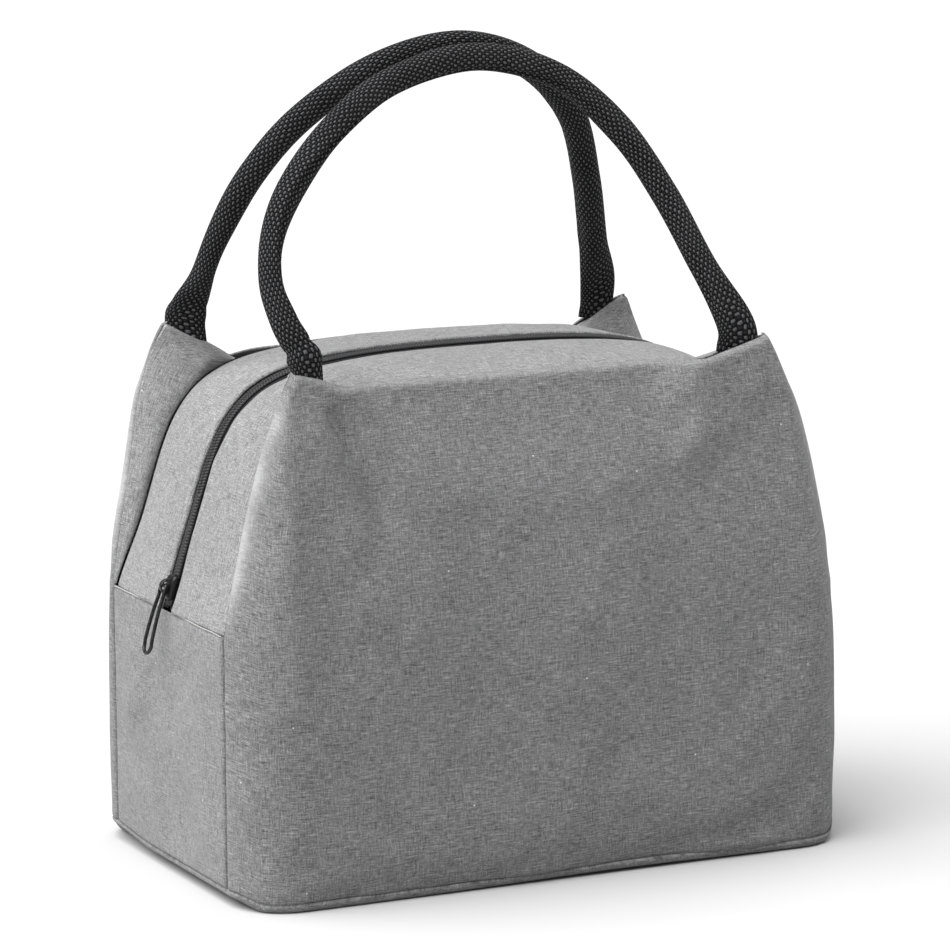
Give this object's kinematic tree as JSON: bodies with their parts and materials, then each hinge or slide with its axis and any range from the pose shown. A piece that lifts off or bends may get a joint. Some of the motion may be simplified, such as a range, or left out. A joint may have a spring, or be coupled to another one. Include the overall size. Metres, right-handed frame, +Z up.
{
  "type": "insulated lunch bag",
  "caption": "Soft insulated lunch bag with a boxy base, an arched zip mouth between two eared panels, and two padded webbing handles sewn into the ears.",
  "frame": {"origin": "middle of the base's underside, on the surface that the bag stands on", "axes": "+Z up, +X along the wide front to the viewer's right, -Y out of the front face"},
  "size_m": [0.2901, 0.172, 0.346],
  "materials": {
    "melange_fabric": "matte grey melange plain weave",
    "webbing": "black basket weave",
    "rope_core": "natural braided cord",
    "zip_tape": "matte black woven tape",
    "zip_coil": "satin black nylon coil",
    "zip_metal": "satin black paint",
    "foam": "matte white closed-cell foam",
    "foil_lining": "bright crinkled foil film",
    "base_board": "matte black board"
  },
  "bodies": {
    "bag": {"base_panel": "melange_fabric", "base_board": "base_board", "base_foam": "foam", "front_panel_lower": "melange_fabric", "rear_panel_lower": "melange_fabric", "side_panel_left": "melange_fabric", "side_panel_right": "melange_fabric", "foam_front_lower": "foam", "foam_rear_lower": "foam", "foam_left": "foam", "foam_right": "foam", "lining_lower": "foil_lining", "gusset_end_left_front": "melange_fabric", "gusset_end_left_rear": "melange_fabric", "gusset_end_right_front": "melange_fabric", "gusset_end_right_rear": "melange_fabric", "gusset_foam_left": "foam", "gusset_foam_right": "foam", "gusset_lining_left": "foil_lining", "gusset_lining_right": "foil_lining", "zip_chain_left": "zip_coil", "zip_chain_right": "zip_coil", "zip_tape_left": "zip_tape", "zip_tape_right": "zip_tape"},
    "front_flap": {"front_panel_upper": "melange_fabric", "foam_front_upper": "foam", "lining_front_upper": "foil_lining", "ear_facing_front_left": "melange_fabric", "ear_facing_front_right": "melange_fabric", "gusset_front": "melange_fabric", "gusset_foam_front": "foam", "gusset_lining_front": "foil_lining", "zip_tape_front": "zip_tape", "zip_coil_front": "zip_coil", "handle_end_front_left": "webbing", "handle_end_front_right": "webbing"},
    "rear_flap": {"rear_panel_upper": "melange_fabric", "foam_rear_upper": "foam", "lining_rear_upper": "foil_lining", "ear_facing_rear_left": "melange_fabric", "ear_facing_rear_right": "melange_fabric", "gusset_rear": "melange_fabric", "gusset_foam_rear": "foam", "gusset_lining_rear": "foil_lining", "zip_tape_rear": "zip_tape", "zip_coil_rear": "zip_coil", "handle_end_rear_left": "webbing", "handle_end_rear_right": "webbing"},
    "front_handle": {"front_handle": "webbing", "front_handle_core": "rope_core"},
    "rear_handle": {"rear_handle": "webbing", "rear_handle_core": "rope_core"},
    "zip_slider": {"zip_slider": "zip_metal"},
    "zip_pull": {"zip_pull": "zip_metal"}
  },
  "joints": [
    {"name": "front_flap_fold", "type": "hinge", "parent": "bag", "child": "front_flap", "pos_m": [0, -0.086, 0.113], "axis": [1, 0, 0], "range_deg": [0, 20]},
    {"name": "rear_flap_fold", "type": "hinge", "parent": "bag", "child": "rear_flap", "pos_m": [0, 0.086, 0.113], "axis": [-1, 0, 0], "range_deg": [0, 20]},
    {"name": "zip_slide", "type": "slide", "parent": "bag", "child": "zip_slider", "axis": [0.304, 0, 0.9527], "range_m": [0, 0.032]},
    {"name": "zip_pull_swing", "type": "hinge", "parent": "zip_slider", "child": "zip_pull", "pos_m": [-0.14038, 0, 0.12273], "axis": [0, 1, 0], "range_deg": [-4, 160]},
    {"name": "front_handle_turn", "type": "hinge", "parent": "front_flap", "child": "front_handle", "pos_m": [0, -0.064, 0.2213], "axis": [1, 0, 0], "range_deg": [0, 120]},
    {"name": "rear_handle_turn", "type": "hinge", "parent": "rear_flap", "child": "rear_handle", "pos_m": [0, 0.064, 0.2213], "axis": [-1, 0, 0], "range_deg": [0, 120]}
  ]
}
